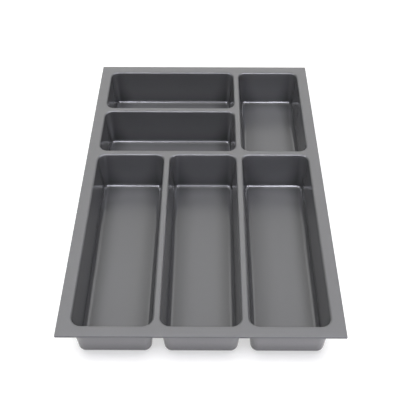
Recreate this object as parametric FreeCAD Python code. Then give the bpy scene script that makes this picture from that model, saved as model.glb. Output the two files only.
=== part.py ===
import FreeCAD, Part
import math
import os

# Cutlery tray for a kitchen drawer: a sheet formed into six drafted compartments under a flat deck.
# Millimetres, +Z up, +X to the right of the person at the drawer, +Y to the back of the drawer.
# The origin is under the middle of the deck, on the plane that the compartment floors stand on.

# Sheet and section
SHEET_THICKNESS = 2.0          # same in the deck, the walls and the floors
TRAY_HEIGHT = 52.0             # from the underside of the floors to the top of the deck
WALL_DRAFT_DEGREES = 6.0       # lean of the walls, so that the tray leaves its mould
LIP_UNDERSIDE_RADIUS = 0.5     # mould edge that the sheet is drawn over at each opening
FLOOR_ROUND_RADIUS = 6.0       # inside round between wall and floor
FLOOR_CORNER_RADIUS = 0.5      # plan radius that is left at the corners of the flat floor

# Deck
SIDE_FLANGE_WIDTH = 12.0       # flat deck from the side edge to the nearest lip
FRONT_FLANGE_WIDTH = 12.0
BACK_FLANGE_WIDTH = 13.0
LENGTHWISE_BRIDGE_WIDTH = 3.2  # flat deck between compartments that lie side by side
CROSSWISE_BRIDGE_WIDTH = 4.0   # flat deck between compartments that lie one behind the other
DECK_CORNER_RADIUS = 1.0       # outer corners of the trimmed sheet

# Openings, measured between the lines where the flat deck turns into the lip
COLUMN_WIDTH = 89.2
FRONT_ROW_LENGTH = 278.4
MIDDLE_ROW_LENGTH = 88.6
BACK_ROW_LENGTH = 90.0

# Worked out from the sizes above
LIP_RADIUS = LIP_UNDERSIDE_RADIUS + SHEET_THICKNESS
WALL_DRAFT = math.radians(WALL_DRAFT_DEGREES)
COLUMN_COUNT = 3
COLUMN_PITCH = COLUMN_WIDTH + LENGTHWISE_BRIDGE_WIDTH
DECK_WIDTH = 2 * SIDE_FLANGE_WIDTH + COLUMN_COUNT * COLUMN_PITCH - LENGTHWISE_BRIDGE_WIDTH
ROW_LENGTHS = (FRONT_ROW_LENGTH, MIDDLE_ROW_LENGTH, BACK_ROW_LENGTH)
BRIDGED_ROWS_LENGTH = sum(ROW_LENGTHS) + (len(ROW_LENGTHS) - 1) * CROSSWISE_BRIDGE_WIDTH
DECK_LENGTH = FRONT_FLANGE_WIDTH + BRIDGED_ROWS_LENGTH + BACK_FLANGE_WIDTH

UP = FreeCAD.Vector(0, 0, 1)
QUARTER_TURN = 90.0


class FormedSection:
    """Section through the sheet from the lip, down the wall, to where the floor becomes flat.

    It lies in the XZ plane. X runs inwards from the line where the deck turns into the lip.
    Both skins of a bend share one centre, which keeps the sheet equally thick all the way.
    """

    def __init__(self):
        self.lip_centre = FreeCAD.Vector(0, 0, TRAY_HEIGHT - LIP_RADIUS)
        self.round_centre = self.find_round_centre()
        self.reach = self.round_centre.x
        self.corner_radius = self.reach + FLOOR_CORNER_RADIUS

    def find_round_centre(self):
        """Centre of the floor round, which touches both the wall's inner skin and the floor."""
        height = SHEET_THICKNESS + FLOOR_ROUND_RADIUS
        drop = self.lip_centre.z - height
        radii = LIP_RADIUS + FLOOR_ROUND_RADIUS
        inset = (radii + drop * math.sin(WALL_DRAFT)) / math.cos(WALL_DRAFT)
        return FreeCAD.Vector(inset, 0, height)

    @staticmethod
    def polar(centre, radius, angle):
        """Point at an angle, counted from +X towards +Z."""
        return centre + FreeCAD.Vector(radius * math.cos(angle), 0, radius * math.sin(angle))

    def arc(self, centre, radius, start, end):
        """Edge of a circle between two angles."""
        angles = (start, (start + end) / 2, end)
        return Part.Arc(*[self.polar(centre, radius, angle) for angle in angles]).toShape()

    def face(self):
        """Closed section of the sheet."""
        lip_start, lip_end = math.pi / 2, WALL_DRAFT
        round_start, round_end = math.pi + WALL_DRAFT, 3 * math.pi / 2
        top = [
            self.arc(self.lip_centre, LIP_RADIUS, lip_start, lip_end),
            self.arc(self.round_centre, FLOOR_ROUND_RADIUS, round_start, round_end),
        ]
        under = [
            self.arc(self.round_centre, FLOOR_ROUND_RADIUS + SHEET_THICKNESS, round_end, round_start),
            self.arc(self.lip_centre, LIP_UNDERSIDE_RADIUS, lip_end, lip_start),
        ]
        bends = top + under
        edges = []
        for bend, following in zip(bends, bends[1:] + bends[:1]):
            edges.append(bend)
            start, end = bend.lastVertex(True).Point, following.firstVertex(True).Point
            edges.append(Part.makeLine(start, end))
        return Part.Face(Part.Wire(edges))


def rounded_plate(low, high, radius, bottom, thickness):
    """Flat plate between two plan corners, with its four upright edges rounded."""
    size = (high[0] - low[0], high[1] - low[1])
    plate = Part.makeBox(size[0], size[1], thickness, FreeCAD.Vector(low[0], low[1], bottom))
    upright = [edge for edge in plate.Edges if abs(edge.tangentAt(edge.FirstParameter).z) > 0.5]
    return plate.makeFillet(radius, upright)


def formed_compartment(section, low, high):
    """One compartment: the section run along four sides, turned round four corners, and a flat floor."""
    inset = section.corner_radius
    axes = [
        FreeCAD.Vector(low[0] + inset, low[1] + inset, 0),
        FreeCAD.Vector(low[0] + inset, high[1] - inset, 0),
        FreeCAD.Vector(high[0] - inset, high[1] - inset, 0),
        FreeCAD.Vector(high[0] - inset, low[1] + inset, 0),
    ]
    profile = section.face()
    profile.translate(FreeCAD.Vector(-inset, 0, 0))
    pieces = []
    for side, start in enumerate(axes):
        end = axes[(side + 1) % len(axes)]
        across = profile.copy()
        across.rotate(FreeCAD.Vector(), UP, -side * QUARTER_TURN)
        across.translate(start)
        pieces.append(across.extrude(end - start))
        across.translate(end - start)
        pieces.append(across.revolve(end, UP, -QUARTER_TURN))
    floor_low = (low[0] + section.reach, low[1] + section.reach)
    floor_high = (high[0] - section.reach, high[1] - section.reach)
    pieces.append(rounded_plate(floor_low, floor_high, FLOOR_CORNER_RADIUS, 0, SHEET_THICKNESS))
    return pieces[0].multiFuse(pieces[1:]).removeSplitter()


def compartment_openings():
    """Plan corners of every opening, by the name of its compartment."""
    lefts = [-DECK_WIDTH / 2 + SIDE_FLANGE_WIDTH + column * COLUMN_PITCH for column in range(COLUMN_COUNT)]
    rights = [left + COLUMN_WIDTH for left in lefts]
    fronts = [-DECK_LENGTH / 2 + FRONT_FLANGE_WIDTH]
    for length in ROW_LENGTHS[:-1]:
        fronts.append(fronts[-1] + length + CROSSWISE_BRIDGE_WIDTH)
    backs = [front + length for front, length in zip(fronts, ROW_LENGTHS)]
    openings = {}
    for place, left, right in zip(("left", "middle", "right"), lefts, rights):
        openings["front_" + place + "_compartment"] = ((left, fronts[0]), (right, backs[0]))
    for place, front, back in zip(("middle", "back"), fronts[1:], backs[1:]):
        openings[place + "_wide_compartment"] = ((lefts[0], front), (rights[1], back))
    openings["back_right_compartment"] = ((lefts[2], fronts[1]), (rights[2], backs[2]))
    return openings


def deck_flange(section, openings):
    """Flat deck with one opening for each compartment."""
    corner = (DECK_WIDTH / 2, DECK_LENGTH / 2)
    underside = TRAY_HEIGHT - SHEET_THICKNESS
    deck = rounded_plate((-corner[0], -corner[1]), corner, DECK_CORNER_RADIUS, underside, SHEET_THICKNESS)
    cutters = [
        rounded_plate(low, high, section.corner_radius, underside, SHEET_THICKNESS)
        for low, high in openings.values()
    ]
    return deck.cut(cutters)


def single_solid(name, shape):
    """The one solid that a piece has to be."""
    if len(shape.Solids) != 1 or not shape.isValid():
        raise ValueError(name + " isn't one valid solid")
    return shape.Solids[0]


def main():
    section = FormedSection()
    openings = compartment_openings()
    parts = {"deck_flange": deck_flange(section, openings)}
    for name, (low, high) in openings.items():
        parts[name] = formed_compartment(section, low, high)
    os.makedirs("parts", exist_ok=True)
    for name, shape in parts.items():
        solid = single_solid(name, shape)
        solid.exportStep("parts/" + name + ".step")
        print(name, "faces", len(solid.Faces), "volume", round(solid.Volume))
    print("deck", round(DECK_WIDTH, 3), "x", round(DECK_LENGTH, 3))
    print("corner radius of the openings", round(section.corner_radius, 3))


main()
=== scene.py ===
"""Looks of a cutlery tray: a satin grey sheet, formed into six compartments under a flat deck.

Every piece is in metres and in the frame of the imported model: +Z up, +Y to the back of the drawer.
"""
import logging
import math
from dataclasses import dataclass, field
from enum import Enum
from typing import Any, Iterator

import bmesh
import bpy
from mathutils import Matrix, Vector
from mathutils.geometry import delaunay_2d_cdt


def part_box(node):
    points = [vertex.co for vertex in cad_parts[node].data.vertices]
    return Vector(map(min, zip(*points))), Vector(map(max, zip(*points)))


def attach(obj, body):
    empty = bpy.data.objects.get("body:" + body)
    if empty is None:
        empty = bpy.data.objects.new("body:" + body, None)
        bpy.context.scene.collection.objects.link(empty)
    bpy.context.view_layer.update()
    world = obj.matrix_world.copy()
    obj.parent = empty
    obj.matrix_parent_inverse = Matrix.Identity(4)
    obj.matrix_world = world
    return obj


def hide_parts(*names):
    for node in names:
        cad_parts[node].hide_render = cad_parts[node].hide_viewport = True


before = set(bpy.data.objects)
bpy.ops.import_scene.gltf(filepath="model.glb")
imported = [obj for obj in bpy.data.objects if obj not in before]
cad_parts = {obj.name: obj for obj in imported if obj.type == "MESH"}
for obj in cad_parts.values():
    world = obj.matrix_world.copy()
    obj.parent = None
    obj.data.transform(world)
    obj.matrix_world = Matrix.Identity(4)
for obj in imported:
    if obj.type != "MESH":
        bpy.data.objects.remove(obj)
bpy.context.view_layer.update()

log = logging.getLogger("cutlery_tray")

Colour = tuple[float, float, float]
Span = tuple[float, float]
Ring = list[bmesh.types.BMVert]
Materials = list[bpy.types.Material]
Socket = bpy.types.NodeSocket
NumberOrSocket = float | Socket
ColourOrSocket = Colour | Socket

MM = 0.001
QUARTER_TURN = math.pi / 2
WHITE = (1.0, 1.0, 1.0)
IMAGE_PIXELS = 416
DECK_NODE = "deck_flange"
COMPARTMENT_NODES = (
    "front_left_compartment",
    "front_middle_compartment",
    "front_right_compartment",
    "middle_wide_compartment",
    "back_wide_compartment",
    "back_right_compartment",
)
STRETCH_AND_SHADE = "stretch_and_shade"
BURNISH = "burnish"
NOISE_SPAN = (0.3, 0.7)        # where most values of a noise lie
FILL_INSIDE_ONLY = 1           # fills what the outlines bound and nothing around them
FILL_TOLERANCE = 0.0001 * MM   # points closer than this count as one


class Skin(Enum):
    """The two faces of the formed sheet."""

    TOP = "top"
    UNDER = "under"


class Zone(Enum):
    """Material slots of a piece."""

    SHEET = 0
    CUT_EDGE = 1


class Fade(Enum):
    """How one value runs into another."""

    EVEN = "LINEAR"
    SOFT = "SMOOTHSTEP"


class LampUse(Enum):
    """What a lamp is for."""

    LIGHT = "lights the tray"
    SHEEN = "shows only in the tray's sheen"


@dataclass(frozen=True)
class Drawn:
    """What forming does to the sheet at one row of points.

    Attributes:
        stretch_and_shade: 0 on the flat deck, 1 where the sheet was drawn down into a compartment; it sets
            the smoother finish there and the painted shade that darkens the compartments.
        burnish: 1 where the sheet was pressed round a floor edge, 0 elsewhere.
        corner_burnish: The same on the upright corners.
    """

    stretch_and_shade: float = 0.0
    burnish: float = 0.0
    corner_burnish: float = 0.0


@dataclass(frozen=True)
class Spoke:
    """One point round an opening: it stands at base + radius * direction.

    Attributes:
        base: Point on the rectangle of the corner axes, in plan.
        direction: Outward unit vector, in plan.
        in_corner: Whether it is inside a round corner.
    """

    base: Vector
    direction: Vector
    in_corner: bool = False

    def at(self, radius: float, height: float) -> Vector:
        """Point at a distance from the base and a height."""
        plan = self.base + self.direction * radius
        return Vector((plan.x, plan.y, height))


@dataclass(frozen=True)
class RoundedRectangle:
    """Plan outline with straight sides and round corners, cut into spokes.

    Attributes:
        low: Lowest plan corner.
        high: Highest plan corner.
        radius: Corner radius.
        corner_steps: Steps round each corner.
        side_step: Longest step along a side.
    """

    low: Vector
    high: Vector
    radius: float
    corner_steps: int = 14
    side_step: float = 9 * MM

    def axes(self) -> list[Vector]:
        """Finds the corner axes in plan.

        Returns:
            The axes, counter-clockwise from the right front one.
        """
        x0, y0 = self.low.x + self.radius, self.low.y + self.radius
        x1, y1 = self.high.x - self.radius, self.high.y - self.radius
        return [Vector((x1, y0)), Vector((x1, y1)), Vector((x0, y1)), Vector((x0, y0))]

    def side_counts(self) -> tuple[int, int]:
        """Counts the steps along the straight sides.

        Returns:
            The count for the sides that run in X, and for those that run in Y.
        """
        axes = self.axes()
        width = (axes[1] - axes[2]).length
        length = (axes[1] - axes[0]).length
        return math.ceil(width / self.side_step), math.ceil(length / self.side_step)

    def spokes(self) -> list[Spoke]:
        """Sets out the spokes round the outline.

        Returns:
            The spokes, counter-clockwise: those of each corner, then those of the side after it.
        """
        axes = self.axes()
        across, along = self.side_counts()
        spokes: list[Spoke] = []
        for corner, axis in enumerate(axes):
            first_angle = (corner - 1) * QUARTER_TURN
            for step in range(self.corner_steps + 1):
                angle = first_angle + step / self.corner_steps * QUARTER_TURN
                inside = 0 < step < self.corner_steps
                spokes.append(Spoke(axis, Vector((math.cos(angle), math.sin(angle))), inside))
            following = axes[(corner + 1) % len(axes)]
            count = along if corner % 2 == 0 else across
            outward = spokes[-1].direction
            for step in range(1, count):
                spokes.append(Spoke(axis.lerp(following, step / count), outward))
        return spokes


@dataclass(frozen=True)
class SheetForm:
    """Section of the formed sheet: lip, leaning wall and floor round.

    Attributes:
        thickness: Sheet thickness.
        height: Top of the deck over the ground.
        draft: Lean of the walls.
        lip_under_radius: Mould edge at each opening.
        floor_round: Inside round between wall and floor.
        floor_corner: Plan radius that is left at the corners of the flat floor.
        floor_crown: Rise of the floors' middle, from the sheet's cooling.
        lip_delay: How late along the lip the sheet takes on the drawn look: the smoother finish and the
            darker painted shade.
        lip_gloss: How far the lip is burnished.
        corner_gloss: How far the upright corners are burnished.
        lip_steps: Steps round the lip.
        lip_start: Turn of an extra first step, which keeps the deck's shading flat up to the lip.
        wall_steps: Steps down the wall.
        wall_margin: Share of the wall from each bend to a row close to it, so that bends end crisply.
        round_steps: Steps round the floor edge.
    """

    thickness: float
    height: float
    draft: float = math.radians(6.0)
    lip_under_radius: float = 0.5 * MM
    floor_round: float = 6.0 * MM
    floor_corner: float = 0.5 * MM
    floor_crown: float = 0.15 * MM
    lip_delay: float = 1.4
    lip_gloss: float = 0.1
    corner_gloss: float = 1.0
    lip_steps: int = 10
    lip_start: float = math.radians(0.5)
    wall_steps: int = 7
    wall_margin: float = 0.012
    round_steps: int = 14

    @property
    def lip_radius(self) -> float:
        """Radius of the lip's top skin."""
        return self.lip_under_radius + self.thickness

    @property
    def lip_centre(self) -> Vector:
        """Centre of the lip's bend, as inset and height."""
        return Vector((0.0, self.height - self.lip_radius))

    @property
    def round_centre(self) -> Vector:
        """Centre of the floor round, which touches both the wall and the floor.

        Returns:
            The centre as inset and height.
        """
        height = self.thickness + self.floor_round
        drop = self.lip_centre.y - height
        radii = self.lip_radius + self.floor_round
        return Vector(((radii + drop * math.sin(self.draft)) / math.cos(self.draft), height))

    @property
    def corner_radius(self) -> float:
        """Plan radius of an opening's corners, at the line where the deck turns into the lip."""
        return self.round_centre.x + self.floor_corner

    def path(self, skin: Skin) -> list[Vector]:
        """Section line of one skin, from the lip's edge to the flat floor.

        Args:
            skin: Which face of the sheet.

        Returns:
            Points as inset from the lip line and height.
        """
        top = skin is Skin.TOP
        lip_radius = self.lip_radius if top else self.lip_under_radius
        round_radius = self.floor_round if top else self.floor_round + self.thickness
        lip = self.bend(self.lip_centre, lip_radius, QUARTER_TURN, self.draft, self.lip_steps)
        lip.insert(1, self.on_circle(self.lip_centre, lip_radius, QUARTER_TURN - self.lip_start))
        start, end = 2 * QUARTER_TURN + self.draft, 3 * QUARTER_TURN
        foot = self.bend(self.round_centre, round_radius, start, end, self.round_steps)
        wall = [lip[-1].lerp(foot[0], share) for share in self.wall_shares()]
        return lip + wall + foot

    def drawing(self) -> list[Drawn]:
        """Says how far the sheet is drawn along a section line.

        Returns:
            One entry for each point of the line.
        """
        lip = []
        for step in range(self.lip_steps + 2):
            share = step / (self.lip_steps + 1)
            gloss = self.lip_gloss * math.sin(math.pi * share)
            lip.append(Drawn(share**self.lip_delay, gloss, gloss))
        wall = [Drawn(stretch_and_shade=1.0, corner_burnish=self.corner_gloss) for _ in self.wall_shares()]
        foot = [Drawn(stretch_and_shade=1.0, burnish=1.0, corner_burnish=1.0)] * (self.round_steps + 1)
        return lip + wall + foot

    def wall_shares(self) -> list[float]:
        """Places of the wall's rows of points, as shares of the way down."""
        inner = [step / self.wall_steps for step in range(1, self.wall_steps)]
        return [self.wall_margin] + inner + [1.0 - self.wall_margin]

    @classmethod
    def bend(cls, centre: Vector, radius: float, start: float, end: float, steps: int) -> list[Vector]:
        """Points on an arc of the section.

        Args:
            centre: Centre as inset and height.
            radius: Arc radius.
            start: First angle, from the inset's direction upwards.
            end: Last angle.
            steps: Number of steps.

        Returns:
            Points from the first angle to the last.
        """
        angles = [start + (end - start) * step / steps for step in range(steps + 1)]
        return [cls.on_circle(centre, radius, angle) for angle in angles]

    @staticmethod
    def on_circle(centre: Vector, radius: float, angle: float) -> Vector:
        """Point of a circle in the section."""
        return centre + radius * Vector((math.cos(angle), math.sin(angle)))


@dataclass
class ShaderBench:
    """A node tree with short ways to add and join nodes.

    Attributes:
        tree: The node tree of a material or of the sky.
    """

    tree: bpy.types.NodeTree

    @classmethod
    def cleared(cls, owner: bpy.types.ID) -> "ShaderBench":
        """Empties the node tree of a material or of the sky.

        Args:
            owner: The material or the sky.

        Returns:
            A bench with that tree.
        """
        owner.use_nodes = True
        owner.node_tree.nodes.clear()
        return cls(owner.node_tree)

    def add(self, kind: str, **settings: Any) -> bpy.types.Node:
        """Adds a node.

        Args:
            kind: Node type.
            settings: Node properties to set.

        Returns:
            The new node.
        """
        node = self.tree.nodes.new(kind)
        for key, value in settings.items():
            setattr(node, key, value)
        return node

    def join(self, source: Socket, target: Socket) -> None:
        """Links an output to an input."""
        self.tree.links.new(source, target)

    def feed(self, value: NumberOrSocket | Colour, target: Socket) -> None:
        """Links an output to an input, or sets the input to a constant.

        Args:
            value: An output, or the constant.
            target: The input.
        """
        if isinstance(value, Socket):
            self.join(value, target)
        else:
            target.default_value = value

    def noise(self, size: float, detail: float, upright: float = 1.0) -> Socket:
        """Noise in the object's own coordinates.

        Args:
            size: Size of a feature in metres.
            detail: Number of finer layers.
            upright: Factor on the height. Below 1, the features are drawn out upright.

        Returns:
            The noise value's socket.
        """
        place = self.add("ShaderNodeTexCoord").outputs["Object"]
        if upright != 1.0:
            mapping = self.add("ShaderNodeMapping")
            mapping.inputs["Scale"].default_value = (1.0, 1.0, upright)
            self.join(place, mapping.inputs["Vector"])
            place = mapping.outputs["Vector"]
        noise = self.add("ShaderNodeTexNoise")
        noise.inputs["Scale"].default_value = 1.0 / size
        noise.inputs["Detail"].default_value = detail
        self.join(place, noise.inputs["Vector"])
        return noise.outputs["Fac"]

    def remap(self, value: Socket, low: float, high: float, span: Span, fade: Fade = Fade.EVEN) -> Socket:
        """Runs from low to high while a value runs through a span.

        Args:
            value: The value.
            low: Result at the span's start, and before it.
            high: Result at the span's end, and past it.
            span: The value's span.
            fade: How low runs into high.

        Returns:
            The result's socket.
        """
        node = self.add("ShaderNodeMapRange", interpolation_type=fade.value)
        ends = {"From Min": span[0], "From Max": span[1], "To Min": low, "To Max": high}
        for name, end in ends.items():
            node.inputs[name].default_value = end
        self.join(value, node.inputs["Value"])
        return node.outputs["Result"]

    def vary(self, noise: Socket, spread: float, middle: float = 1.0) -> Socket:
        """A noise, spread evenly about a middle value."""
        return self.remap(noise, middle - spread, middle + spread, NOISE_SPAN)

    def mark(self, name: str) -> Socket:
        """Value of one of the mesh's own marks."""
        return self.add("ShaderNodeAttribute", attribute_name=name).outputs["Fac"]

    def openness(self, reach: float) -> Socket:
        """How open the space over a point is: 1 on a free flat, less in a corner or by another piece.

        Args:
            reach: How far away a surface still counts.

        Returns:
            The openness socket.
        """
        node = self.add("ShaderNodeAmbientOcclusion")
        node.inputs["Distance"].default_value = reach
        return node.outputs["AO"]

    def blend(self, share: Socket, low: NumberOrSocket, high: float) -> Socket:
        """Number between two others.

        Args:
            share: 0 for the first, 1 for the second.
            low: First number, or its socket.
            high: Second number.

        Returns:
            The number's socket.
        """
        mix = self.add("ShaderNodeMix", data_type="FLOAT")
        self.join(share, mix.inputs["Factor"])
        self.feed(low, mix.inputs["A"])
        mix.inputs["B"].default_value = high
        return mix.outputs["Result"]

    def maths(self, operation: str, first: Socket, second: Socket) -> Socket:
        """Adds a Math node.

        Args:
            operation: Blender's name of the operation.
            first: First operand.
            second: Second operand.

        Returns:
            The result's socket.
        """
        node = self.add("ShaderNodeMath", operation=operation)
        self.join(first, node.inputs[0])
        self.join(second, node.inputs[1])
        return node.outputs[0]

    def toned(self, colour: ColourOrSocket, share: Socket) -> Socket:
        """Makes a colour lighter or darker.

        Args:
            colour: The colour, or its socket.
            share: Factor on the colour.

        Returns:
            The toned colour's socket.
        """
        node = self.add("ShaderNodeVectorMath", operation="SCALE")
        self.feed(colour, node.inputs[0])
        self.join(share, node.inputs["Scale"])
        return node.outputs["Vector"]

    def bump(self, height: Socket, depth: float) -> bpy.types.Node:
        """Adds a Bump node.

        Args:
            height: Height, as a share of the depth.
            depth: Depth of the relief.

        Returns:
            The node.
        """
        node = self.add("ShaderNodeBump")
        node.inputs["Distance"].default_value = depth
        self.join(height, node.inputs["Height"])
        return node

    def plastic(self, colour: Socket, roughness: Socket, normal: Socket) -> bpy.types.Node:
        """Adds the plastic's shader and makes it the material's surface.

        Args:
            colour: Base colour.
            roughness: Roughness.
            normal: Surface direction.

        Returns:
            The shader node.
        """
        node = self.add("ShaderNodeBsdfPrincipled")
        self.join(colour, node.inputs["Base Color"])
        self.join(roughness, node.inputs["Roughness"])
        self.join(normal, node.inputs["Normal"])
        self.join(node.outputs["BSDF"], self.add("ShaderNodeOutputMaterial").inputs["Surface"])
        return node


@dataclass(frozen=True)
class SheetFinish:
    """Formed plastic sheet: matt grained deck, smoother where it was drawn; painted shade darkens the
    drawn compartments and their corners.

    Attributes:
        name: Material name.
        deck_colour: Linear base colour of the undrawn deck.
        drawn_colour_with_painted_shade: Linear base colour of the drawn compartments, darker than the
            deck's by painted shade.
        deck_roughness: Mean roughness of the deck.
        drawn_roughness: Mean roughness of the walls and floors.
        burnished_roughness: Mean roughness of the floor edges.
        ior: Refractive index.
        painted_shade_reach: How far away a surface still darkens the base colour with painted shade, in
            corners and hollows, between the tubs and under the deck.
        painted_shade_tone: Share of the base colour that is left where the painted shade is deepest.
        painted_shade_span: Openness at which the painted shade is darkest, and at which the sheet has its
            full colour.
        cloud_size: Size of the slow clouds in the colour.
        cloud_spread: How far the clouds change the colour, as a share of it.
        speckle_size: Size of the fine speckles in the colour.
        speckle_spread: How far the speckles change the colour, as a share of it.
        patch_size: Size of the rubbed patches.
        patch_spread: How far the patches change the roughness, as a share of it.
        grain_size: Size of a grain.
        grain_depth: Height of the grain.
        drawn_grain: Share of the grain that is left where the sheet was drawn.
        ripple_size: Size of the slow waves that forming leaves.
        ripple_depth: Height of those waves.
    """

    name: str = "satin_grey_sheet"
    deck_colour: Colour = (0.225, 0.224, 0.222)
    drawn_colour_with_painted_shade: Colour = (0.152, 0.152, 0.153)
    deck_roughness: float = 0.42
    drawn_roughness: float = 0.255
    burnished_roughness: float = 0.12
    ior: float = 1.55
    painted_shade_reach: float = 27.0 * MM
    painted_shade_tone: float = 0.15
    painted_shade_span: Span = (0.22, 0.92)
    cloud_size: float = 90.0 * MM
    cloud_spread: float = 0.008
    speckle_size: float = 0.7 * MM
    speckle_spread: float = 0.02
    patch_size: float = 30.0 * MM
    patch_spread: float = 0.025
    grain_size: float = 0.45 * MM
    grain_depth: float = 0.008 * MM
    drawn_grain: float = 0.4
    ripple_size: float = 38.0 * MM
    ripple_depth: float = 0.012 * MM

    def material(self) -> bpy.types.Material:
        """Makes the material.

        Returns:
            The material.
        """
        material = bpy.data.materials.new(self.name)
        bench = ShaderBench.cleared(material)
        plastic = bench.plastic(self.tint(bench), self.gloss(bench), self.relief(bench))
        plastic.inputs["IOR"].default_value = self.ior
        return material

    def tint(self, bench: ShaderBench) -> Socket:
        """Base colour with slow clouds and a fine speckle, with painted shade that darkens the drawn
        compartments and, more, the corners and hollows.

        Args:
            bench: The material's nodes.

        Returns:
            The colour's socket.
        """
        # Painted shade: the drawn compartments get a darker base colour than the deck.
        drawn = bench.add("ShaderNodeMix", data_type="RGBA")
        drawn.inputs["A"].default_value = (*self.deck_colour, 1.0)
        drawn.inputs["B"].default_value = (*self.drawn_colour_with_painted_shade, 1.0)
        bench.join(bench.mark(STRETCH_AND_SHADE), drawn.inputs["Factor"])
        clouds = bench.vary(bench.noise(self.cloud_size, detail=0.0), self.cloud_spread)
        speckle = bench.vary(bench.noise(self.speckle_size, detail=1.0), self.speckle_spread)
        mottle = bench.maths("MULTIPLY", clouds, speckle)
        # Painted shade: the base colour is darkened where the space over the sheet is closed in, in
        # corners, hollows, between the tubs and under the deck.
        open_share = bench.openness(self.painted_shade_reach)
        painted_shade = bench.remap(open_share, self.painted_shade_tone, 1.0, self.painted_shade_span)
        return bench.toned(drawn.outputs["Result"], bench.maths("MULTIPLY", mottle, painted_shade))

    def gloss(self, bench: ShaderBench) -> Socket:
        """Roughness with rubbed patches, lower where the sheet was drawn and lowest where burnished.

        Args:
            bench: The material's nodes.

        Returns:
            The roughness socket.
        """
        drawn = bench.blend(bench.mark(STRETCH_AND_SHADE), self.deck_roughness, self.drawn_roughness)
        burnished = bench.blend(bench.mark(BURNISH), drawn, self.burnished_roughness)
        patches = bench.vary(bench.noise(self.patch_size, detail=2.0), self.patch_spread)
        return bench.maths("MULTIPLY", burnished, patches)

    def relief(self, bench: ShaderBench) -> Socket:
        """Fine grain over slow forming waves.

        Args:
            bench: The material's nodes.

        Returns:
            The socket of the surface direction.
        """
        ripple = bench.bump(bench.noise(self.ripple_size, detail=1.0), self.ripple_depth)
        grain = bench.bump(bench.noise(self.grain_size, detail=2.0), self.grain_depth)
        drawn = bench.blend(bench.mark(STRETCH_AND_SHADE), 1.0, self.drawn_grain)
        bench.join(bench.blend(bench.mark(BURNISH), drawn, 0.0), grain.inputs["Strength"])
        bench.join(ripple.outputs["Normal"], grain.inputs["Normal"])
        return grain.outputs["Normal"]


@dataclass(frozen=True)
class CutEdgeFinish:
    """Trimmed edge of the sheet: matt, with fine upright marks from the cutter, and a base colour far
    darker than the sheet's, which is painted shade on the edge.

    Attributes:
        name: Material name.
        colour: Linear base colour, darkened by painted shade.
        colour_spread: How far the marks change the colour, as a share of it.
        roughness: Mean roughness.
        roughness_spread: How far the marks change the roughness.
        mark_size: Spacing of the cutter's marks.
        mark_depth: Depth of the marks.
        mark_upright: Factor on the height, which draws the marks out upright.
    """

    name: str = "trimmed_edge"
    # Painted shade: the edge gets a far darker colour than the sheet it is cut from.
    colour: Colour = (0.078, 0.078, 0.08)
    colour_spread: float = 0.08
    roughness: float = 0.62
    roughness_spread: float = 0.06
    mark_size: float = 0.6 * MM
    mark_depth: float = 0.03 * MM
    mark_upright: float = 0.08

    def material(self) -> bpy.types.Material:
        """Makes the material.

        Returns:
            The material.
        """
        material = bpy.data.materials.new(self.name)
        bench = ShaderBench.cleared(material)
        marks = bench.noise(self.mark_size, detail=3.0, upright=self.mark_upright)
        colour = bench.toned(self.colour, bench.vary(marks, self.colour_spread))
        roughness = bench.vary(marks, self.roughness_spread, self.roughness)
        bench.plastic(colour, roughness, bench.bump(marks, self.mark_depth).outputs["Normal"])
        return material


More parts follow.
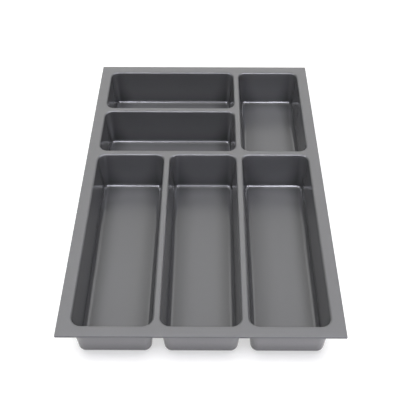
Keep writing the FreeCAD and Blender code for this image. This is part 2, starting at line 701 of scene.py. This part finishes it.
@dataclass
class PieceMesh:
    """A mesh under construction.

    Attributes:
        name: Name of the piece.
        mesh: The bmesh that collects points and faces.
    """

    name: str
    mesh: bmesh.types.BMesh = field(default_factory=bmesh.new)

    def __post_init__(self) -> None:
        """Adds the layers that tell the finish how the sheet was drawn, and where the compartments'
        painted shade lies.
        """
        self.stretch_and_shade = self.mesh.verts.layers.float.new(STRETCH_AND_SHADE)
        self.burnish = self.mesh.verts.layers.float.new(BURNISH)

    def ring(self, spokes: list[Spoke], radius: float, height: float, drawn: Drawn = Drawn()) -> Ring:
        """Adds one closed row of points.

        Args:
            spokes: Places round the outline.
            radius: Distance from the corner axes.
            height: Height of the row.
            drawn: What forming did to the sheet there.

        Returns:
            The new points.
        """
        row: Ring = []
        for spoke in spokes:
            vert = self.mesh.verts.new(spoke.at(radius, height))
            vert[self.stretch_and_shade] = drawn.stretch_and_shade
            vert[self.burnish] = drawn.corner_burnish if spoke.in_corner else drawn.burnish
            row.append(vert)
        return row

    def bridge(self, first: Ring, second: Ring, zone: Zone = Zone.SHEET) -> None:
        """Joins two rows with faces, which are triangles where points coincide.

        Args:
            first: First row.
            second: Second row, with as many points.
            zone: Material slot of the faces.
        """
        count = len(first)
        for index in range(count):
            after = (index + 1) % count
            corners = [first[index], first[after], second[after], second[index]]
            unique = list(dict.fromkeys(corners))
            if len(unique) > 2:
                face = self.mesh.faces.new(unique)
                face.material_index = zone.value
                face.smooth = True

    def fill(self, rings: list[Ring], upward: bool) -> None:
        """Fills a flat region: the first row bounds it and the others are holes in it.

        Args:
            rings: Rows of points in one plane.
            upward: Whether the faces look up.
        """
        points: list[bmesh.types.BMVert] = []
        owners: list[int] = []
        edges: list[tuple[int, int]] = []
        for owner, ring in enumerate(rings):
            start, count = len(points), len(ring)
            edges += [(start + index, start + (index + 1) % count) for index in range(count)]
            points += ring
            owners += [owner] * count
        plan = [Vector((vert.co.x, vert.co.y)) for vert in points]
        for face in delaunay_2d_cdt(plan, edges, [], FILL_INSIDE_ONLY, FILL_TOLERANCE)[2]:
            holes = {owners[index] for index in face}
            if len(holes) == 1 and 0 not in holes:
                continue
            corners = [points[index] for index in face]
            self.mesh.faces.new(corners if upward else corners[::-1])

    def finish(self, crease: float) -> bpy.types.Object:
        """Turns the mesh into an object that rides on the tray.

        Args:
            crease: Edges sharper than this stay sharp.

        Returns:
            The new object.
        """
        bmesh.ops.recalc_face_normals(self.mesh, faces=self.mesh.faces)
        data = bpy.data.meshes.new(self.name)
        self.mesh.to_mesh(data)
        self.mesh.free()
        data.set_sharp_from_angle(angle=crease)
        piece = bpy.data.objects.new(self.name, data)
        bpy.context.scene.collection.objects.link(piece)
        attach(piece, "root")
        return piece


@dataclass
class TrayPiece:
    """A piece of the tray.

    Attributes:
        node: The solid that it stands for.
    """

    node: str

    def dress(self, piece: bpy.types.Object, materials: Materials) -> None:
        """Gives the built piece its finishes and puts it in the solid's place.

        Args:
            piece: The built piece.
            materials: One material for each zone.
        """
        for material in materials:
            piece.data.materials.append(material)
        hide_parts(self.node)


@dataclass
class Compartment(TrayPiece):
    """One formed tub: both skins of its lip, walls, corners and floor.

    Attributes:
        node: The solid that it stands for.
        form: Section of the sheet.
        crease: Edges sharper than this stay sharp.
    """

    form: SheetForm
    crease: float = math.radians(32.0)

    def outline(self) -> RoundedRectangle:
        """Line round the opening where the flat deck turns into the lip."""
        low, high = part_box(self.node)
        return RoundedRectangle(low.xy, high.xy, self.form.corner_radius)

    def build(self) -> bpy.types.Object:
        """Builds the tub.

        Returns:
            The piece, not yet dressed.
        """
        piece = PieceMesh(self.node.replace("_compartment", "_tub"))
        edges = {skin: self.skin(piece, skin) for skin in Skin}
        piece.bridge(edges[Skin.TOP], edges[Skin.UNDER])
        return piece.finish(self.crease)

    def skin(self, piece: PieceMesh, skin: Skin) -> Ring:
        """Adds one skin, from the lip's edge to the middle of the floor.

        Args:
            piece: Mesh to add to.
            skin: Which face of the sheet.

        Returns:
            The row of points along the lip's edge.
        """
        outline = self.outline()
        spokes = outline.spokes()
        path = self.form.path(skin)
        rows = [
            piece.ring(spokes, outline.radius - point.x, point.y, drawn)
            for point, drawn in zip(path, self.form.drawing())
        ]
        rows.append(self.floor(piece, outline, path[-1].y))
        for first, second in zip(rows, rows[1:]):
            piece.bridge(first, second)
        return rows[0]

    def floor(self, piece: PieceMesh, outline: RoundedRectangle, height: float) -> Ring:
        """Adds the flat floor between the corner axes, a little crowned.

        Args:
            piece: Mesh to add to.
            outline: Line round the opening.
            height: Height of this skin's floor.

        Returns:
            The floor's border, with one entry for each spoke.
        """
        across, along = outline.side_counts()
        axes = outline.axes()
        low, high = axes[3], axes[1]
        grid: dict[tuple[int, int], bmesh.types.BMVert] = {}
        for column in range(across + 1):
            for row in range(along + 1):
                share = Vector((column / across, row / along))
                crown = self.form.floor_crown * self.swell(share.x) * self.swell(share.y)
                place = Vector((low.x + (high.x - low.x) * share.x, low.y + (high.y - low.y) * share.y))
                vert = piece.mesh.verts.new((place.x, place.y, height + crown))
                vert[piece.stretch_and_shade] = 1.0
                grid[column, row] = vert
        steps = ((0, 0), (1, 0), (1, 1), (0, 1))
        for column in range(across):
            for row in range(along):
                corners = [grid[column + right, row + back] for right, back in steps]
                piece.mesh.faces.new(corners).smooth = True
        return [grid[place] for place in self.border(outline.corner_steps, across, along)]

    @staticmethod
    def swell(share: float) -> float:
        """Smooth rise from 0 at both ends to 1 in the middle."""
        return math.sin(math.pi * share) ** 2

    @staticmethod
    def border(corner_steps: int, across: int, along: int) -> Iterator[tuple[int, int]]:
        """Goes round the floor in the order of the outline's spokes.

        Args:
            corner_steps: Steps round each corner, all at one grid place.
            across: Grid steps in X.
            along: Grid steps in Y.

        Yields:
            Grid places.
        """
        sides = (((across, 0), (0, 1), along), ((across, along), (-1, 0), across))
        opposite = (((0, along), (0, -1), along), ((0, 0), (1, 0), across))
        for corner, step, count in sides + opposite:
            for _ in range(corner_steps + 1):
                yield corner
            for index in range(1, count):
                yield corner[0] + step[0] * index, corner[1] + step[1] * index


@dataclass
class Deck(TrayPiece):
    """Flat top of the tray with its trimmed edge and its openings.

    Attributes:
        node: The solid that it stands for.
        compartments: The tubs that hang in the openings.
        corner_radius: Outer corners of the trimmed sheet.
        corner_steps: Steps round each outer corner.
        side_step: Longest step along the outer edge.
        edge_round: Round that the cutter and handling leave on the trimmed edge.
        edge_steps: Steps round that edge.
        crease: Edges sharper than this stay sharp.
    """

    compartments: list[Compartment]
    corner_radius: float = 1.0 * MM
    corner_steps: int = 6
    side_step: float = 30 * MM
    edge_round: float = 0.35 * MM
    edge_steps: int = 4
    crease: float = math.radians(50.0)

    def build(self) -> bpy.types.Object:
        """Builds the deck.

        Returns:
            The piece, not yet dressed.
        """
        low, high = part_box(self.node)
        piece = PieceMesh("deck_sheet")
        rim = RoundedRectangle(low.xy, high.xy, self.corner_radius, self.corner_steps, self.side_step)
        rows = [
            piece.ring(rim.spokes(), rim.radius - point.x, point.y)
            for point in self.edge_path(low.z, high.z)
        ]
        for first, second in zip(rows, rows[1:]):
            piece.bridge(first, second, Zone.CUT_EDGE)
        tops, unders = [rows[0]], [rows[-1]]
        for compartment in self.compartments:
            outline = compartment.outline()
            tops.append(piece.ring(outline.spokes(), outline.radius, high.z))
            unders.append(piece.ring(outline.spokes(), outline.radius, low.z))
            piece.bridge(tops[-1], unders[-1])
        piece.fill(tops, upward=True)
        piece.fill(unders, upward=False)
        return piece.finish(self.crease)

    def edge_path(self, bottom: float, top: float) -> list[Vector]:
        """Section of the trimmed edge, from the top face to the underside.

        Args:
            bottom: Height of the underside.
            top: Height of the top face.

        Returns:
            Points as inset and height.
        """
        inset, steps = self.edge_round, self.edge_steps
        turns = (QUARTER_TURN, 2 * QUARTER_TURN, 3 * QUARTER_TURN)
        upper = SheetForm.bend(Vector((inset, top - inset)), inset, turns[0], turns[1], steps)
        lower = SheetForm.bend(Vector((inset, bottom + inset)), inset, turns[1], turns[2], steps)
        return upper + lower


@dataclass(frozen=True)
class Lamp:
    """A soft rectangular studio lamp that points at the tray.

    Attributes:
        name: Lamp name.
        azimuth: Degrees from the back of the tray, clockwise seen from above.
        elevation: Degrees over the ground.
        distance: Distance from the tray.
        size: Width and height.
        power: Radiant power in watts.
        colour: Linear colour.
        use: Whether it lights the tray or only shows in its sheen.
    """

    name: str
    azimuth: float
    elevation: float
    distance: float
    size: tuple[float, float]
    power: float
    colour: Colour = WHITE
    use: LampUse = LampUse.LIGHT

    def hang(self) -> None:
        """Adds the lamp to the scene."""
        data = bpy.data.lights.new(self.name, "AREA")
        data.shape = "RECTANGLE"
        data.size, data.size_y = self.size
        data.energy = self.power
        data.color = self.colour
        turn, rise = math.radians(self.azimuth), math.radians(self.elevation)
        level = math.cos(rise)
        away = Vector((math.sin(turn) * level, math.cos(turn) * level, math.sin(rise)))
        lamp = bpy.data.objects.new(self.name, data)
        lamp.location = away * self.distance
        lamp.rotation_euler = away.to_track_quat("Z", "Y").to_euler()
        lamp.visible_camera = False
        lamp.visible_diffuse = self.use is LampUse.LIGHT
        bpy.context.scene.collection.objects.link(lamp)


@dataclass(frozen=True)
class Studio:
    """White ground, plain sky light and soft lamps.

    Attributes:
        lamps: The lamps.
        ground_half: Half the width of the ground.
        ground_gap: How far the ground lies under the tray.
        ground_colour: Reflectance of the ground.
        ground_lift: Extra white by the tray that only the camera and mirrors see.
        ground_near: Distance from the tray's middle at which that white starts to grow.
        ground_far: Distance from which the ground is plain white.
        painted_shadow_reach: How far the painted shadow round the contact with the tray reaches.
        painted_shadow_tone: Share of the extra white that is left where the painted shadow is darkest, at
            the contact.
        painted_shadow_span: Openness at which the painted shadow is darkest, and at which it ends.
        horizon: Strength of the band of light along the horizon.
        horizon_height: Degrees over which that band fades out.
    """

    lamps: tuple[Lamp, ...]
    ground_half: float = 6.0
    ground_gap: float = 0.1 * MM
    ground_colour: Colour = (0.44, 0.437, 0.42)
    ground_lift: float = 0.92
    ground_near: float = 0.4
    ground_far: float = 0.9
    painted_shadow_reach: float = 19.0 * MM
    painted_shadow_tone: float = 0.62
    painted_shadow_span: Span = (0.4, 0.97)
    horizon: float = 0.42
    horizon_height: float = 18.0

    def build(self) -> None:
        """Adds the ground, the sky and the lamps."""
        self.lay_ground()
        self.light_sky()
        for lamp in self.lamps:
            lamp.hang()
            log.info("lamp %s", lamp.name)

    def lay_ground(self) -> None:
        """Adds the pale ground that the tray stands on."""
        half = self.ground_half
        data = bpy.data.meshes.new("ground")
        corners = [(-half, -half), (half, -half), (half, half), (-half, half)]
        data.from_pydata([(x, y, -self.ground_gap) for x, y in corners], [], [(0, 1, 2, 3)])
        data.materials.append(self.ground_material())
        ground = bpy.data.objects.new("ground", data)
        bpy.context.scene.collection.objects.link(ground)

    def ground_material(self) -> bpy.types.Material:
        """Makes a white matt ground that keeps the tray's shadow, with a painted shadow where the two
        touch.

        Returns:
            The material.
        """
        material = bpy.data.materials.new("white_ground")
        bench = ShaderBench.cleared(material)
        matt = bench.add("ShaderNodeBsdfDiffuse")
        matt.inputs["Color"].default_value = (*self.ground_colour, 1.0)
        path = bench.add("ShaderNodeLightPath")
        clear = bench.maths("MAXIMUM", path.outputs["Is Transmission Ray"], path.outputs["Is Glossy Ray"])
        seen = bench.maths("MAXIMUM", path.outputs["Is Camera Ray"], clear)
        lift = bench.add("ShaderNodeEmission")
        bench.join(bench.maths("MULTIPLY", seen, self.paleness_and_painted_shadow(bench)), lift.inputs["Strength"])
        both = bench.add("ShaderNodeAddShader")
        bench.join(matt.outputs["BSDF"], both.inputs[0])
        bench.join(lift.outputs["Emission"], both.inputs[1])
        output = bench.add("ShaderNodeOutputMaterial")
        bench.join(both.outputs["Shader"], output.inputs["Surface"])
        return material

    def paleness_and_painted_shadow(self, bench: ShaderBench) -> Socket:
        """Extra white of the ground: plain far out, less by the tray, and least where the two touch, where
        a painted shadow darkens it.

        Args:
            bench: The ground's nodes.

        Returns:
            The socket of the white's strength.
        """
        place = bench.add("ShaderNodeTexCoord")
        away = bench.add("ShaderNodeVectorMath", operation="LENGTH")
        bench.join(place.outputs["Object"], away.inputs[0])
        reach = (self.ground_near, self.ground_far)
        glow = bench.remap(away.outputs["Value"], self.ground_lift, 1.0, reach, Fade.SOFT)
        # Painted shadow: the white is darkened where the ground is closed in by the tray.
        open_share = bench.openness(self.painted_shadow_reach)
        painted_contact_shadow = bench.remap(open_share, self.painted_shadow_tone, 1.0, self.painted_shadow_span)
        return bench.maths("MULTIPLY", glow, painted_contact_shadow)

    def light_sky(self) -> None:
        """Lights a pale band along the horizon; the camera sees plain white."""
        world = bpy.data.worlds.new("studio")
        bpy.context.scene.world = world
        bench = ShaderBench.cleared(world)
        band, seen = bench.add("ShaderNodeBackground"), bench.add("ShaderNodeBackground")
        for sky in (band, seen):
            sky.inputs["Color"].default_value = (*WHITE, 1.0)
        place = bench.add("ShaderNodeTexCoord")
        split = bench.add("ShaderNodeSeparateXYZ")
        bench.join(place.outputs["Generated"], split.inputs["Vector"])
        rise = (0.0, math.sin(math.radians(self.horizon_height)))
        bench.join(bench.remap(split.outputs["Z"], self.horizon, 0.0, rise), band.inputs["Strength"])
        path = bench.add("ShaderNodeLightPath")
        choice = bench.add("ShaderNodeMixShader")
        bench.join(path.outputs["Is Camera Ray"], choice.inputs["Fac"])
        bench.join(band.outputs["Background"], choice.inputs[1])
        bench.join(seen.outputs["Background"], choice.inputs[2])
        output = bench.add("ShaderNodeOutputWorld")
        bench.join(choice.outputs["Shader"], output.inputs["Surface"])


@dataclass(frozen=True)
class PhotoCamera:
    """Camera at the photograph's viewpoint.

    Attributes:
        position: Where it stands.
        pitch: Tilt below the horizon, in radians.
        yaw: Turn to the left, in radians.
        roll: Turn about the line of sight, in radians.
        focal_pixels: Focal length in pixels of the square image.
        sensor: Sensor width in millimetres.
    """

    position: tuple[float, float, float]
    pitch: float
    yaw: float
    roll: float
    focal_pixels: float
    sensor: float = 36.0

    def build(self) -> None:
        """Adds the camera and makes it the scene's own."""
        data = bpy.data.cameras.new("photo_camera")
        data.sensor_width = self.sensor
        data.lens = self.focal_pixels / IMAGE_PIXELS * self.sensor
        camera = bpy.data.objects.new("photo_camera", data)
        turn = Matrix.Rotation(self.yaw, 4, "Z") @ Matrix.Rotation(QUARTER_TURN - self.pitch, 4, "X")
        camera.matrix_world = Matrix.Translation(self.position) @ turn @ Matrix.Rotation(self.roll, 4, "Z")
        bpy.context.scene.collection.objects.link(camera)
        bpy.context.scene.camera = camera


CAMERA = PhotoCamera(
    position=(7.97 * MM, -709.47 * MM, 679.17 * MM),
    pitch=0.76488,
    yaw=0.0020,
    roll=0.00248,
    focal_pixels=759.4,
)
COOL = (0.87, 0.88, 1.0)
DAYLIGHT = (0.62, 0.64, 1.0)
MAUVE = (0.93, 0.9, 1.0)
# Each lamp has its name, azimuth, elevation, distance, size and power, and then its colour and use
STUDIO = Studio(
    lamps=(
        Lamp("left_box", 256.0, 61.0, 1.72, (0.8, 0.44), 7.5),
        Lamp("right_box", 112.0, 66.0, 2.3, (1.2, 0.5), 13.6),
        Lamp("overhead", 0.0, 90.0, 2.1, (2.3, 1.1), 10.2),
        Lamp("left_fill", 220.0, 48.0, 1.6, (0.25, 0.35), 0.9, DAYLIGHT),
        Lamp("right_fill", 140.0, 48.0, 1.6, (0.25, 0.35), 2.0, DAYLIGHT),
        Lamp("front_card", 159.0, 2.4, 1.2, (1.4, 0.1), 10.7, MAUVE),
        Lamp("back_card", 0.0, 1.2, 1.2, (2.0, 0.05), 6.0),
        Lamp("left_card", 270.0, 1.2, 1.1, (2.0, 0.05), 6.0),
        Lamp("right_card", 90.0, 1.2, 1.1, (2.0, 0.05), 6.0),
        Lamp("back_high", 0.0, 55.0, 2.2, (3.0, 0.58), 12.2, use=LampUse.SHEEN),
        Lamp("back_middle", 0.0, 40.0, 2.2, (3.0, 0.58), 7.4, use=LampUse.SHEEN),
        Lamp("back_low", 0.0, 25.0, 2.2, (3.0, 0.58), 12.5, use=LampUse.SHEEN),
        Lamp("front_left", 200.5, 50.0, 1.6, (0.26, 1.1), 12.7, COOL, LampUse.SHEEN),
        Lamp("front_middle", 181.0, 48.0, 1.6, (0.33, 1.1), 5.1, COOL, LampUse.SHEEN),
        Lamp("front_right", 162.3, 47.0, 1.6, (0.32, 1.1), 18.0, COOL, LampUse.SHEEN),
        Lamp("left_spark", 250.0, 42.0, 1.2, (0.36, 0.4), 15.0, COOL, LampUse.SHEEN),
        Lamp("right_spark", 110.0, 42.0, 1.2, (0.36, 0.4), 15.0, COOL, LampUse.SHEEN),
    )
)


def main() -> None:
    """Builds the tray, the studio and the camera."""
    logging.basicConfig(level=logging.INFO, format="%(name)s: %(message)s")
    bpy.context.scene.view_settings.view_transform = "Standard"
    materials = [SheetFinish().material(), CutEdgeFinish().material()]
    deck_low, deck_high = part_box(DECK_NODE)
    form = SheetForm(thickness=deck_high.z - deck_low.z, height=deck_high.z)
    compartments = [Compartment(node, form) for node in COMPARTMENT_NODES]
    for part in [Deck(DECK_NODE, compartments), *compartments]:
        piece = part.build()
        part.dress(piece, materials)
        log.info("%s stands for %s with %d faces", piece.name, part.node, len(piece.data.polygons))
    STUDIO.build()
    CAMERA.build()


if __name__ == "__main__":
    main()
